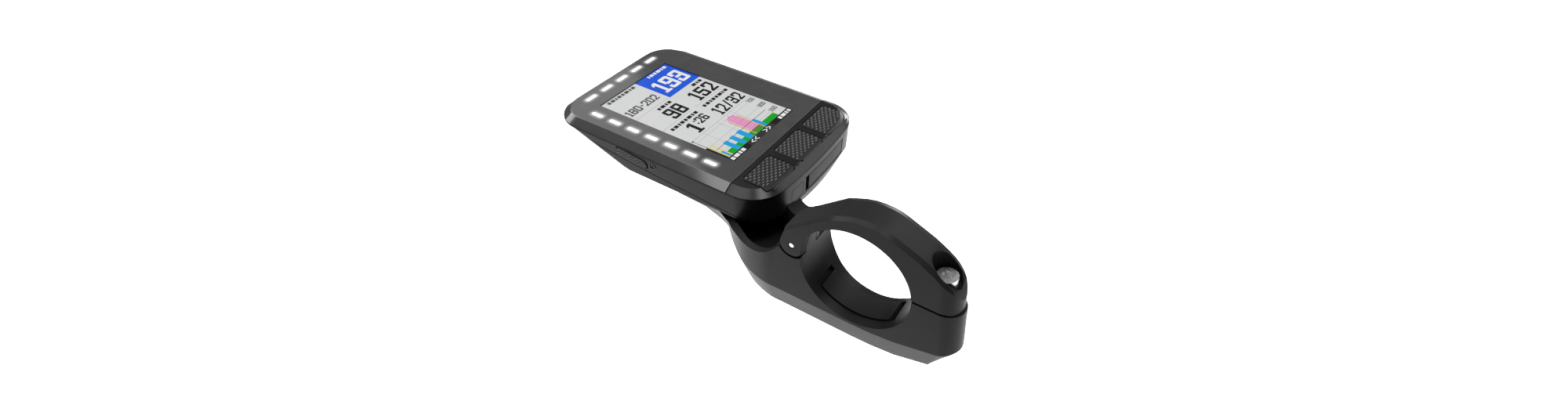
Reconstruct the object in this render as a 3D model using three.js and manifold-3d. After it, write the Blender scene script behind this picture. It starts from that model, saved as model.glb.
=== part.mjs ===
// Cycling computer with its out-front handlebar mount.
// Millimetres, +Z up. The origin is on the handlebar's axis, midway across the clamp strap.
// +X points to the rider's right along the bar, +Y forward, and the screen lies level.
import * as THREE from 'three';
import { mergeVertices } from 'three/addons/utils/BufferGeometryUtils.js';
import Module from 'manifold-3d';

const wasm = await Module();
wasm.setup();

// ---- driving dimensions ----
const GAP = 0.3;                         // clearance between neighbouring pieces
const ARC = 6;                           // steps in a rounded corner

const BAR = { radius: 15.9 };            // 31.8 mm handlebar
const BORE = { radius: 16.3 };           // clamp halves, bridged by the liners
const STRAP = { near: -5.8, far: 4.4, chamferWide: 1.5, chamferTall: 0.5 };
const BODY = { near: -5.8, far: 7.5, bottom: -26.4, bevelTop: -17.3, bevelIn: 3.0, rise: 0.0062 };
const HINGE = { y: 19.1, z: 2.5, pin: 0.9, lug: 4.1, tongue: 2.6, cheek: 2.9 };
const BOLT = { x: -0.7, y: -22.0, z: 13.0, lean: 0.1, boss: 5.1, bore: 3.9, head: 2.8, shank: 1.5 };
const SPLIT = 2.0;                       // height of the joint between strap and arm at the bolt
const LINER = { x0: -2.35, x1: 5.0, from: -129, to: -47 };

const PUCK = { x: 37.25, y: 80, radius: 21, top: -20 };
const TAB = { neck: 10.6, reach: 13.6, thick: 1.4, sweep: 52 };

const HEAD = { x: 37.25, rear: 36.5, width: 60.6, length: 90.5, corner: 12, crown: 0.8, top: -1.2,
  bottom: -19 };
const CHAMFER = { side: 3.2, drop: 1.75 };
const BAND = { top: HEAD.top - CHAMFER.drop - GAP, low: -12.4, frontRun: 23.5 };
const SEAM = [[20, -12.2], [40, -12], [48, -11.4], [60, -10.6], [80, -9.2], [96, -7.5], [112, -5.8],
  [130, -5]];
const WALL = 1.8;
const SEAM_Y = 50.9;                     // joint between the cover glass and the button fascia
const SCREEN = { x0: 19.2, x1: 54.45, y0: 56.1, y1: 114.8 };
const LED = { length: 4.4, width: 1.1, frontY: 120.55, frontX0: 21.3, pitchX: 7.86, sideX: 14.7,
  sideY0: 111.05, pitchY: 8.13 };
const KEY = { x: 37.7, width: 14.3, y0: 38.7, y1: 49.2, pitch: 17.05 };
const POWER_KEY = { y: 89.4, z: -5.75, length: 13.2, height: 3.6 };
const SIDE_KEY = { y: 84, z: -5.75, length: 9, height: 3.4, pitch: 11 };
const KEY_TILT = THREE.MathUtils.degToRad(6);   // the side keys run parallel to the seam
const PORT = { x0: 31.6, x1: 54.0, z0: -11.3, z1: -6.0, notch: 1.9 };
const SOCKET = { x: 42.6, z: -8, width: 9, height: 3.15 };

// ---- materials ----
const plastic = (color, roughness) => new THREE.MeshStandardMaterial({ color, roughness, metalness: 0 });
const metal = (color, roughness) => new THREE.MeshStandardMaterial({ color, roughness, metalness: 1 });
const finish = {
  shell: plastic(0x1c1c1e, 0.5),
  cover: plastic(0x2a2b2d, 0.15),
  key: plastic(0x202123, 0.6),
  rubber: plastic(0x161617, 0.85),
  arm: plastic(0x242426, 0.45),
  glass: plastic(0xdfe6ea, 0.05),
  screen: plastic(0xe8ebe9, 0.4),
  light: plastic(0xffffff, 0.3),
  board: plastic(0x1d5a3a, 0.6),
  cell: plastic(0xb9bcc2, 0.4),
  chip: plastic(0x121212, 0.5),
  ceramic: plastic(0xcbb58e, 0.7),
  steel: metal(0xb9bcc0, 0.3),
  brass: metal(0xc9a45c, 0.35),
};

// ---- solids ----
function solid(geometry) {
  const plain = geometry.index ? geometry.toNonIndexed() : geometry.clone();
  plain.deleteAttribute('normal');
  plain.deleteAttribute('uv');
  const merged = mergeVertices(plain, 1e-4);
  const mesh = new wasm.Mesh({
    numProp: 3,
    vertProperties: new Float32Array(merged.attributes.position.array),
    triVerts: new Uint32Array(merged.index.array),
  });
  return new wasm.Manifold(mesh);
}

function geometryOf(body) {
  const data = body.getMesh();
  const geometry = new THREE.BufferGeometry();
  geometry.setAttribute('position', new THREE.BufferAttribute(new Float32Array(data.vertProperties), 3));
  geometry.setIndex(new THREE.BufferAttribute(new Uint32Array(data.triVerts), 1));
  return geometry;
}

const pieces = new THREE.Group();

function add(name, body, material) {
  const mesh = new THREE.Mesh(geometryOf(body), material);
  mesh.name = name;
  pieces.add(mesh);
}

const union = (...bodies) => bodies.reduce((all, body) => all.add(body));
const cut = (body, ...tools) => tools.reduce((rest, tool) => rest.subtract(tool), body);

// ---- outlines ----
const points = (list) => list.map(([x, y]) => new THREE.Vector2(x, y));

function arc(cx, cy, radius, fromDeg, toDeg, steps = ARC) {
  const list = [];
  for (let i = 0; i <= steps; i += 1) {
    const a = THREE.MathUtils.degToRad(fromDeg + ((toDeg - fromDeg) * i) / steps);
    list.push(new THREE.Vector2(cx + radius * Math.cos(a), cy + radius * Math.sin(a)));
  }
  return list;
}

function roundedRect(x0, x1, y0, y1, radius, steps = ARC) {
  return [
    ...arc(x1 - radius, y0 + radius, radius, -90, 0, steps),
    ...arc(x1 - radius, y1 - radius, radius, 0, 90, steps),
    ...arc(x0 + radius, y1 - radius, radius, 90, 180, steps),
    ...arc(x0 + radius, y0 + radius, radius, 180, 270, steps),
  ];
}

// Smooth run of points through a few hand-placed ones.
function through(list, steps) {
  return new THREE.SplineCurve(points(list)).getPoints(steps);
}

// Upright prism of a plan outline.
function prism(outline, z0, z1) {
  const run = { depth: z1 - z0, bevelEnabled: false };
  const geometry = new THREE.ExtrudeGeometry(new THREE.Shape(outline), run);
  geometry.translate(0, 0, z0);
  return solid(geometry);
}

// Prism of a side-view outline (y, z), running along X.
const sideways = new THREE.Matrix4().makeBasis(
  new THREE.Vector3(0, 1, 0),
  new THREE.Vector3(0, 0, 1),
  new THREE.Vector3(1, 0, 0),
);

function sidePrism(outline, x0, x1, wide = 0, tall = 0) {
  const geometry = new THREE.ExtrudeGeometry(new THREE.Shape(outline), {
    depth: x1 - x0 - 2 * wide,
    bevelEnabled: wide > 0,
    bevelThickness: wide,
    bevelSize: tall,
    bevelOffset: -tall,
    bevelSegments: 1,
  });
  geometry.translate(0, 0, x0 + wide);
  geometry.applyMatrix4(sideways);
  return solid(geometry);
}

// Closed skin over rings of equal count, each ring flat at its own height, lowest first.
function loft(rings) {
  const count = rings[0].outline.length;
  const position = [];
  for (const { outline, z } of rings) {
    for (const p of outline) position.push(p.x, p.y, z);
  }
  const index = [];
  for (let r = 0; r + 1 < rings.length; r += 1) {
    for (let i = 0; i < count; i += 1) {
      const a = r * count + i;
      const b = r * count + ((i + 1) % count);
      index.push(a, b, b + count, a, b + count, a + count);
    }
  }
  const last = (rings.length - 1) * count;
  for (const [a, b, c] of THREE.ShapeUtils.triangulateShape(rings[0].outline, [])) index.push(a, c, b);
  for (const [a, b, c] of THREE.ShapeUtils.triangulateShape(rings.at(-1).outline, [])) {
    index.push(last + a, last + b, last + c);
  }
  const geometry = new THREE.BufferGeometry();
  geometry.setAttribute('position', new THREE.Float32BufferAttribute(position, 3));
  geometry.setIndex(index);
  return solid(geometry);
}

// Cylinder from one point to another.
function rod(from, to, radius, sides = 20) {
  const a = new THREE.Vector3(...from);
  const b = new THREE.Vector3(...to);
  const axis = b.clone().sub(a);
  const geometry = new THREE.CylinderGeometry(radius, radius, axis.length(), sides);
  const up = new THREE.Vector3(0, 1, 0);
  geometry.applyQuaternion(new THREE.Quaternion().setFromUnitVectors(up, axis.clone().normalize()));
  geometry.translate((a.x + b.x) / 2, (a.y + b.y) / 2, (a.z + b.z) / 2);
  return solid(geometry);
}

// Block between two opposite corners.
function block(x0, x1, y0, y1, z0, z1) {
  const geometry = new THREE.BoxGeometry(x1 - x0, y1 - y0, z1 - z0);
  geometry.translate((x0 + x1) / 2, (y0 + y1) / 2, (z0 + z1) / 2);
  return solid(geometry);
}

// Ring sector about the bar's axis.
function barSector(inner, outer, fromDeg, toDeg, x0, x1, steps = 12) {
  const outline = [...arc(0, 0, outer, fromDeg, toDeg, steps), ...arc(0, 0, inner, toDeg, fromDeg, steps)];
  return sidePrism(outline, x0, x1);
}

// ---- clamp: shared shapes ----
const FAR = 40;
const boreRod = (radius) => rod([-FAR, 0, 0], [FAR, 0, 0], radius, 64);
const boltPoint = (z) => [BOLT.x, BOLT.y + BOLT.lean * (z - BOLT.z), z];
const boltRod = (z0, z1, radius, sides) => rod(boltPoint(z0), boltPoint(z1), radius, sides);
const hingeRod = (x0, x1, radius, sides = 28) => (
  rod([x0, HINGE.y, HINGE.z], [x1, HINGE.y, HINGE.z], radius, sides)
);

// Plan outline of the bolt boss with its sides running forward to the given half widths.
function bossPlan(z, left, right) {
  const y = boltPoint(z)[1];
  return [
    new THREE.Vector2(left, 30),
    new THREE.Vector2(left, -13),
    ...arc(BOLT.x, y, BOLT.boss, 184, 356, 12),
    new THREE.Vector2(right, -13),
    new THREE.Vector2(right, 30),
  ];
}

function leaningBoss(left, right) {
  const low = -60;
  const high = 40;
  return loft([
    { outline: bossPlan(low, left, right), z: low },
    { outline: bossPlan(high, left, right), z: high },
  ]);
}

// ---- clamp strap ----
function strapOutline() {
  const lugStart = arc(HINGE.y, HINGE.z, HINGE.lug, -150, 40, 12);
  const crown = through([[8.2, 17.9], [1.2, 20.5], [-5.4, 20.7], [-10, 19.2]], 8);
  const tail = through([[-16.5, 16.4], [-21.5, 13.4], [-25.3, 10.0], [-27.4, 6.6]], 8);
  return [...lugStart, new THREE.Vector2(21.9, 7.2), ...crown, ...tail,
    new THREE.Vector2(-30, SPLIT), new THREE.Vector2(0, SPLIT)];
}

// Where the strap's cheeks meet the arm beside the bore.
const tipLine = points([[9.2, 9.7], [11.1, 12.2], [13.2, 9.9], [14.3, 6.4], [14.6, 3.9]]);

function makeStrap() {
  const slab = sidePrism(strapOutline(), STRAP.near, STRAP.far, STRAP.chamferWide, STRAP.chamferTall);
  const belowTip = sidePrism([
    ...tipLine,
    new THREE.Vector2(14.0, 1.6),
    new THREE.Vector2(12, -20),
    new THREE.Vector2(-2, -20),
    new THREE.Vector2(-2, 9.7),
  ], -FAR, FAR);
  const tongueRoom = union(
    hingeRod(-HINGE.cheek, HINGE.cheek, HINGE.lug + 0.2),
    sidePrism(
      points([[14.2, 7.4], [10.4, 13.4], [6, 6], [12, -8], [30, -8], [26, 1.5]]),
      -HINGE.cheek,
      HINGE.cheek,
    ),
  );
  const body = slab.intersect(leaningBoss(STRAP.near, STRAP.far));
  const liner = barSector(BORE.radius - 2, BORE.radius + 1.3, 62, 150, LINER.x0 - 1.3, LINER.x0 + 6);
  return cut(
    body,
    boreRod(BORE.radius),
    belowTip,
    tongueRoom,
    liner,
    hingeRod(-FAR, FAR, HINGE.pin + 0.1, 16),
    boltRod(-4, 9, BOLT.shank + 0.3, 16),
    boltRod(7.4, 30, BOLT.bore, 24),
  );
}

// ---- arm: lower clamp half, curved arm and puck holder in one moulding ----
function armPlan() {
  const left = through([[-5.8, 24], [-5.6, 29.5], [-2.8, 38], [2.9, 45.9], [8.8, 52.6], [13.2, 60.5],
    [15.8, 70]], 22);
  const right = through([[54.2, 67.4], [48, 58], [38, 47.6], [28, 39.4], [20, 31], [13.4, 22], [8.8, 11],
    [7.5, 0], [6.9, -10]], 20);
  const boss = arc(BOLT.x, boltPoint(BODY.bevelTop)[1], BOLT.boss, -4, -176, 12);
  return [
    ...boss,
    ...points([[BODY.near, -13], [BODY.near, -6], [BODY.near, 0], [BODY.near, 10]]),
    ...left,
    ...arc(PUCK.x, PUCK.y, PUCK.radius, 180, -22, 28),
    ...right,
  ].reverse();
}

// The underside sweeps up a little behind the bar, and the boss leans with the bolt.
function shapeArm(geometry) {
  const place = geometry.attributes.position;
  for (let i = 0; i < place.count; i += 1) {
    const y = place.getY(i);
    const z = place.getZ(i);
    if (y < 0) place.setZ(i, z + BODY.rise * y * y);
    if (y < -14) place.setY(i, y + BOLT.lean * (z - BODY.bevelTop));
    if (y < BOLT.y && z < BODY.bevelTop - 1) place.setY(i, BOLT.y + 0.3 * (y - BOLT.y));
  }
  return geometry;
}

function makeArm() {
  const bevelTall = BODY.bevelTop - BODY.bottom;
  const slab = solid(shapeArm(new THREE.ExtrudeGeometry(new THREE.Shape(armPlan()), {
    depth: 45,
    bevelThickness: bevelTall,
    bevelSize: BODY.bevelIn,
    bevelOffset: -BODY.bevelIn,
    bevelSegments: 1,
  }).translate(0, 0, BODY.bevelTop)));
  const tip = points([[0, SPLIT - GAP], [8.4, 9.2], [10.7, 11.9], [12.8, 9.6], [14.6, 4.4], [22.6, 0.8]]);
  const ridge = through([[24.2, -1.2], [28, -4.9], [33, -7.4], [41, -9.4], [48.4, -13.8], [57, -19]], 12);
  const profile = [
    new THREE.Vector2(-FAR, SPLIT - GAP),
    ...tip,
    ...ridge,
    ...points([[64, PUCK.top], [110, PUCK.top], [110, -FAR], [-FAR, -FAR]]),
  ].reverse();
  const troughFloor = through([[25.6, -8], [29, -15], [35, -20], [46, -22.8]], 8);
  const troughSide = [...troughFloor, ...points([[60, -22.8], [60, 10], [25.6, 10]])].reverse();
  const trough = sidePrism(troughSide, -FAR, 90).intersect(troughPlan());
  const lugPocket = (x0, x1) => union(
    hingeRod(x0, x1, HINGE.lug + 0.35),
    sidePrism(points([[14.3, 1.6], [14.3, 12], [30, 12], [23.6, 2.5]]), x0, x1),
  );
  const tongue = union(
    hingeRod(-HINGE.tongue, HINGE.tongue, HINGE.lug - 0.5),
    sidePrism(
      points([[8.4, 9.2], [10.7, 11.9], [12.8, 9.6], [16, 5], [22, 0], [20, -6], [12, -2]]),
      -HINGE.tongue,
      HINGE.tongue,
    ),
  );
  const body = union(
    cut(
      slab.intersect(sidePrism(profile, -FAR, 90)),
      lugPocket(-FAR, -HINGE.tongue),
      lugPocket(HINGE.tongue, FAR),
      trough,
      headSweep(),
    ),
    tongue,
  );
  const linerRoom = barSector(
    BORE.radius - 2,
    BORE.radius + 1.4,
    LINER.from - 6,
    LINER.to + 6,
    LINER.x0 - GAP,
    LINER.x1 + GAP,
  );
  return cut(
    body,
    boreRod(BORE.radius),
    linerRoom,
    hingeRod(-FAR, FAR, HINGE.pin + 0.1, 16),
    boltRod(-13.4, 5, 3.3 + GAP, 20),
    rod([PUCK.x, PUCK.y, PUCK.top - 3.2], [PUCK.x, PUCK.y, 0], TAB.reach + 1.6, 36),
    ...insertScrewSpots().map(([x, y]) => rod([x, y, -25], [x, y, -15], 1.3, 12)),
  );
}

// Inside of the hollow between the arm's two side walls.
function troughPlan() {
  const left = through([[-3.8, 25.6], [-3.5, 29.5], [-0.9, 37], [4.6, 44.4], [10.5, 51.2], [15, 58.6]], 14);
  const right = through([[42.5, 58.8], [33.6, 49.6], [23.2, 41.4], [15.2, 32.8], [11, 25.6]], 12);
  return prism([...left, ...right].reverse(), -FAR, FAR);
}

// Space that the head turns through on its quarter turn, with clearance.
function headSweep() {
  const room = 0.7;
  const around = headInset(-room);
  const envelope = loft([
    ...undersideRings(-room, room),
    { outline: around, z: BAND.low - room },
    { outline: around, z: 20 },
  ]).translate([-PUCK.x, -PUCK.y, 0]);
  const turns = [0, 1, 2, 3, 4, 5, 6, 7, 8, 9].map((step) => (
    envelope.rotate([0, 0, step * 10]).translate([PUCK.x, PUCK.y, 0])
  ));
  return union(...turns);
}

function insertScrewSpots() {
  return [-1, 1].map((side) => [PUCK.x + side * 7, PUCK.y]);
}

// ---- bayonet ----
// Two opposite sectors between a neck and an outer radius.
function sectors(inner, outer, centreDeg, sweepDeg, z0, z1) {
  const one = (turn) => prism([
    ...arc(PUCK.x, PUCK.y, outer, centreDeg + turn - sweepDeg / 2, centreDeg + turn + sweepDeg / 2, 8),
    ...arc(PUCK.x, PUCK.y, inner, centreDeg + turn + sweepDeg / 2, centreDeg + turn - sweepDeg / 2, 8),
  ], z0, z1);
  return union(one(0), one(180));
}

const puckDisc = (radius, z0, z1) => rod([PUCK.x, PUCK.y, z0], [PUCK.x, PUCK.y, z1], radius, 40);

function makeInsert() {
  const tabTop = -16.4;
  const holes = insertScrewSpots().flatMap(([x, y]) => [
    rod([x, y, -30], [x, y, -10], 1.3, 12),
    rod([x, y, -18.4], [x, y, -10], 2.4, 16),
  ]);
  return cut(
    union(
      puckDisc(TAB.reach + 1.2, PUCK.top - 2.9, PUCK.top - 0.1),
      puckDisc(TAB.neck, PUCK.top - 1, tabTop),
      sectors(TAB.neck - 1, TAB.reach, 0, TAB.sweep, tabTop - TAB.thick, tabTop),
    ),
    ...holes,
  );
}

function makeInsertScrew([x, y]) {
  return cut(
    union(rod([x, y, -24.6], [x, y, -18], 1.0, 12), rod([x, y, -18.1], [x, y, -16.7], 2.0, 16)),
    rod([x, y, -17.5], [x, y, -10], 0.9, 6),
  );
}

// ---- head: outlines ----
// Outline of the head drawn in by a distance on each side. Its rear edge bows out a little.
function headOutline(side, front, rear, corner) {
  const x0 = HEAD.x - HEAD.width / 2 + side;
  const x1 = HEAD.x + HEAD.width / 2 - side;
  const y0 = HEAD.rear + rear;
  const bow = [-0.75, -0.5, -0.25, 0, 0.25, 0.5, 0.75].map((u) => (
    new THREE.Vector2(HEAD.x + u * ((x1 - x0) / 2 - corner), y0 - HEAD.crown * (1 - u * u))
  ));
  return [...roundedRect(x0, x1, y0, HEAD.rear + HEAD.length - front, corner), ...bow];
}

const headInset = (inset) => headOutline(inset, inset, inset, HEAD.corner - inset);

// Chamfered slab that the cover and the fascia are both cut from.
function topSlab() {
  const flat = headOutline(CHAMFER.side, 2.4, CHAMFER.side, HEAD.corner - CHAMFER.side);
  return loft([
    { outline: headInset(0.1), z: HEAD.top - CHAMFER.drop - 0.25 },
    { outline: headInset(0), z: HEAD.top - CHAMFER.drop },
    { outline: flat, z: HEAD.top },
  ]);
}

function ledPlaces() {
  const front = [0, 1, 2, 3, 4].map((i) => ({
    name: `light_front_${i + 1}`,
    x: LED.frontX0 + i * LED.pitchX,
    y: LED.frontY,
    along: 'x',
  }));
  const side = [0, 1, 2, 3, 4, 5, 6].map((i) => ({
    name: `light_side_${i + 1}`,
    x: LED.sideX,
    y: LED.sideY0 - i * LED.pitchY,
    along: 'y',
  }));
  return [...front, ...side];
}

// Rounded light bar, optionally grown to make its slot.
function ledBar({ x, y, along }, grow, z0, z1) {
  const a = (along === 'x' ? LED.length : LED.width) / 2 + grow;
  const b = (along === 'x' ? LED.width : LED.length) / 2 + grow;
  return prism(roundedRect(x - a, x + a, y - b, y + b, Math.min(a, b) - 0.01, 3), z0, z1);
}

// Footprint of one rear key. The head's outline rounds off the outer two.
function keyFoot(number, grow) {
  const x = KEY.x + (number - 1) * KEY.pitch;
  const half = KEY.width / 2 + grow;
  return prism(roundedRect(x - half, x + half, KEY.y0 - grow, KEY.y1 + grow, 1.4 + grow, 4), -FAR, FAR)
    .intersect(prism(headInset(2 - grow), -FAR, FAR));
}

const keyNames = ['key_left', 'key_centre', 'key_right'];

function makeHeadShell() {
  const slabBottom = HEAD.top - CHAMFER.drop - 0.25;
  const slots = ledPlaces().map((place) => ledBar(place, GAP, -FAR, FAR));
  const front = block(-FAR, 120, SEAM_Y + GAP / 2, 200, -FAR, FAR);
  const rear = block(-FAR, 120, 0, SEAM_Y - GAP / 2, -FAR, FAR);
  const window = prism(roundedRect(SCREEN.x0, SCREEN.x1, SCREEN.y0, SCREEN.y1, 0.8, 2), -FAR, FAR);
  add('display_cover', cut(topSlab().intersect(front), window, ...slots), finish.cover);
  const pane = roundedRect(SCREEN.x0 + GAP, SCREEN.x1 - GAP, SCREEN.y0 + GAP, SCREEN.y1 - GAP, 0.6, 2);
  add('display_window', prism(pane, -2.4, HEAD.top - 0.02), finish.glass);
  const keyHoles = [0, 1, 2].map((i) => keyFoot(i, GAP));
  add('button_fascia', cut(topSlab().intersect(rear), ...keyHoles), finish.shell);
  const keyLayer = topSlab().intersect(block(-FAR, 120, 0, 200, slabBottom + 0.1, FAR));
  keyNames.forEach((name, i) => add(name, keyLayer.intersect(keyFoot(i, 0)), finish.key));
  ledPlaces().forEach((place) => {
    add(place.name, ledBar(place, 0, slabBottom - 0.2, HEAD.top - 0.02), finish.light);
  });
}

// ---- head: side band with its key and port openings ----
const outerX = HEAD.width / 2;

const sideKeys = [
  { name: 'power_button', side: -1, ...POWER_KEY },
  { name: 'up_button', side: 1, ...SIDE_KEY, y: SIDE_KEY.y + SIDE_KEY.pitch / 2 },
  { name: 'down_button', side: 1, ...SIDE_KEY, y: SIDE_KEY.y - SIDE_KEY.pitch / 2 },
];

// Round-ended bar through a side wall, between two depths from the head's middle.
function sideKeyBar({ side, y, z, length, height }, near, far, grow = 0) {
  const a = length / 2 + grow;
  const b = height / 2 + grow;
  const centre = new THREE.Vector2(y, z);
  const bar = roundedRect(y - a, y + a, z - b, z + b, b - 0.05, 5);
  const outline = bar.map((p) => p.rotateAround(centre, KEY_TILT));
  return side < 0
    ? sidePrism(outline, HEAD.x - far, HEAD.x - near)
    : sidePrism(outline, HEAD.x + near, HEAD.x + far);
}

// The outside of the case under the chamfer. Its front is undercut at a shallow slope.
function caseRings(inset, top = BAND.top) {
  return [
    { outline: headOutline(0.6 + inset, BAND.frontRun + inset, 0.3 + inset, 11.5), z: BAND.low },
    { outline: headInset(inset), z: top },
  ];
}

// The inside of the case, one wall further in.
function cavity(inset) {
  return loft([
    { outline: headOutline(15.5, 31.5, 10.5, 7), z: HEAD.bottom + 1.6 },
    { outline: headOutline(8, 28, 3, 10), z: -14.8 },
    { outline: headOutline(2.4 + inset, 23.5 + inset, 2.2 + inset, 9.8), z: -11 },
    { outline: headOutline(WALL + inset, 2.5 + inset, WALL + inset, 10.2), z: -2.9 },
  ]);
}

// Everything above or below the line where the band meets the bottom cover.
const seamLine = (lift) => points(SEAM.map(([y, z]) => [y, z + lift]));
const seamAbove = (lift) => sidePrism([...seamLine(lift), ...points([[130, 30], [20, 30]])], -FAR, 90);
const seamBelow = (lift) => (
  sidePrism([...seamLine(lift), ...points([[130, -60], [20, -60]])].reverse(), -FAR, 90)
);

function makeBand() {
  const ring = cut(loft(caseRings(0)).intersect(seamAbove(0)), cavity(0));
  const keyHoles = sideKeys.map((key) => sideKeyBar(key, outerX - 4, outerX + 2, GAP));
  const portFloor = HEAD.rear + 1;
  const port = block(PORT.x0 - PORT.notch, PORT.x1 + GAP, 30, portFloor, PORT.z0 - GAP, PORT.z1 + GAP);
  const wallBehind = block(PORT.x0 - 4, PORT.x1 + 2, portFloor, portFloor + 1.5, PORT.z0 - GAP, BAND.top - 1);
  const socketHole = socketBlock(GAP, 30, 45);
  add('main_housing', cut(union(ring, wallBehind), ...keyHoles, port, socketHole), finish.shell);
  sideKeys.forEach((key) => {
    const cap = sideKeyBar(key, outerX - WALL + 0.1, outerX + 0.15);
    const stem = sideKeyBar({ ...key, length: 3.2, height: 1.8 }, outerX - WALL - 1, outerX - WALL + 0.2);
    add(key.name, union(cap, stem), finish.key);
  });
}

// Block around the socket's cross-section.
function socketBlock(grow, y0, y1) {
  const a = SOCKET.width / 2 + grow;
  const b = SOCKET.height / 2 + grow;
  return block(SOCKET.x - a, SOCKET.x + a, y0, y1, SOCKET.z - b, SOCKET.z + b);
}

function makePort() {
  const flapRoom = block(PORT.x0, PORT.x1, 30, HEAD.rear + 0.8, PORT.z0, PORT.z1);
  const flap = loft(caseRings(0.05)).intersect(flapRoom);
  const [plugX, plugZ] = [3, 0.85];
  const plug = block(
    SOCKET.x - plugX,
    SOCKET.x + plugX,
    HEAD.rear + 0.7,
    HEAD.rear + 3.2,
    SOCKET.z - plugZ,
    SOCKET.z + plugZ,
  );
  add('usb_door', union(flap, plug), finish.rubber);
  const shell = socketBlock(0, HEAD.rear + 1.8, HEAD.rear + 9.2);
  const mouth = socketBlock(-0.35, HEAD.rear, HEAD.rear + 8);
  add('usb_socket', cut(shell, mouth), finish.steel);
}

// ---- head: bottom cover ----
const RECESS = { radius: TAB.reach + 1.9, roof: -15.6, skin: 1.3 };

// Rings of the bottom cover's underside, lowest first, drawn in by an inset and lowered by a drop.
function undersideRings(inset, drop) {
  return [
    { outline: headOutline(14 + inset, 29.5 + inset, 9 + inset, 8), z: HEAD.bottom - drop },
    { outline: headOutline(9 + inset, 27 + inset, 3 + inset, 11), z: -17.4 - drop },
    { outline: headOutline(6 + inset, 25 + inset, 0.9 + inset, 12), z: -15.6 - drop },
  ];
}

function makeBottomCover() {
  const outer = loft([...undersideRings(0, 0), ...caseRings(0)]).intersect(seamBelow(-GAP));
  const inner = cavity(0);
  const roof = puckDisc(RECESS.radius + 1.2, HEAD.bottom + 0.8, RECESS.roof + RECESS.skin);
  const posts = caseScrewSpots().map(([x, y]) => rod([x, y, -15.5], [x, y, -9.8], 2.6, 16));
  const body = union(cut(outer, inner), roof, ...posts);
  return cut(
    body.intersect(union(outer, roof)),
    puckDisc(RECESS.radius, HEAD.bottom - 5, RECESS.roof),
    ...caseScrewSpots().flatMap(([x, y]) => [
      rod([x, y, -30], [x, y, 0], 1.2, 12),
      rod([x, y, -30], [x, y, -12.6], 2.0, 16),
    ]),
  );
}

// Locking ring in the recess: its two lips sit over the insert's tabs until the head is turned.
function makeLockRing() {
  const lipTop = -18.05;
  return cut(
    puckDisc(RECESS.radius - GAP, HEAD.bottom, -16.1),
    puckDisc(TAB.reach + 0.35, lipTop, 0),
    puckDisc(TAB.neck + 0.4, -FAR, 0),
    sectors(TAB.neck - 2, TAB.reach + 0.35, 90, TAB.sweep + 8, -FAR, 0),
  );
}

function caseScrewSpots() {
  const xs = [HEAD.x - 19.5, HEAD.x + 19.5];
  const ys = [HEAD.rear + 13.5, HEAD.rear + 59];
  return xs.flatMap((x) => ys.map((y) => [x, y]));
}

function makeCaseScrew([x, y]) {
  return cut(
    union(rod([x, y, -13.0], [x, y, -9.4], 0.9, 12), rod([x, y, -14.2], [x, y, -12.9], 1.7, 16)),
    rod([x, y, -20], [x, y, -13.5], 0.8, 6),
  );
}

// ---- head: inner pieces ----
function makeInside() {
  const { x } = HEAD;
  const board = cut(
    prism(roundedRect(x - 25, x + 25, 44, 106, 5, 3), -8.4, -7.6),
    block(36.5, 48.7, 40, 46.6, -FAR, 0),
  );
  add('main_board', board, finish.board);
  add('lcd_panel', block(x - 19.5, x + 19.5, 53.5, 117.5, -4.9, -3.35), finish.screen);
  add('battery', prism(roundedRect(x - 17, x + 17, 54, 87, 2, 2), -14.0, -8.9), finish.cell);
  add('gps_antenna', block(x - 5, x + 5, 88.5, 98.5, -12, -8.7), finish.ceramic);
  add('buzzer', rod([x + 12, 92, -11.4], [x + 12, 92, -8.8], 3.6, 20), finish.chip);
  [0, 1, 2].forEach((i) => {
    const keyX = KEY.x + (i - 1) * KEY.pitch;
    const place = i === 1 ? keyX - 5.2 : keyX;
    const name = ['switch_left', 'switch_centre', 'switch_right'][i];
    add(name, block(place - 1.5, place + 1.5, 47.3, 50.3, -7.3, -3.8), finish.chip);
  });
  sideKeys.forEach((key) => {
    const face = outerX - WALL - 1.6;
    const body = sideKeyBar({ ...key, length: 3.6, height: 2.6 }, face - 2.5, face);
    add(key.name.replace('button', 'switch'), body, finish.chip);
  });
  const seal = cut(cavity(GAP), cavity(1.2)).intersect(seamAbove(-1.3)).intersect(seamBelow(-0.2));
  add('case_seal', seal, finish.rubber);
}

// ---- clamp hardware ----
function makeBolt() {
  return cut(
    union(boltRod(-8.0, 8.6, BOLT.shank, 20), boltRod(7.8, 10.8, BOLT.head, 28)),
    boltRod(9.2, 14, 1.45, 6),
  );
}

// Insert pressed into the arm for the bolt. Its mouth is widened as a lead-in.
function makeThreadedInsert() {
  const hole = boltRod(-20, 5, BOLT.shank + 0.65, 20);
  const leadIn = boltRod(-6.2, 5, BOLT.shank + 1.25, 20);
  return cut(boltRod(-13, -4, 3.2, 20), hole, leadIn);
}

add('mount_arm', makeArm(), finish.arm);
add('clamp_strap', makeStrap(), finish.arm);
add('hinge_pin', hingeRod(STRAP.near + 0.15, STRAP.far - 0.15, HINGE.pin - 0.1, 16), finish.steel);
add('clamp_bolt', makeBolt(), finish.steel);
add('threaded_insert', makeThreadedInsert(), finish.brass);
add('lower_liner', barSector(
  BAR.radius,
  BORE.radius + 1.1,
  LINER.from,
  LINER.to,
  LINER.x0,
  LINER.x1,
), finish.rubber);
add('upper_liner', barSector(
  BAR.radius,
  BORE.radius + 1,
  64,
  148,
  LINER.x0 - 1,
  LINER.x0 + 5.7,
), finish.rubber);
add('bayonet_insert', makeInsert(), finish.shell);
insertScrewSpots().forEach((spot, i) => add(`insert_screw_${i + 1}`, makeInsertScrew(spot), finish.steel));

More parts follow.
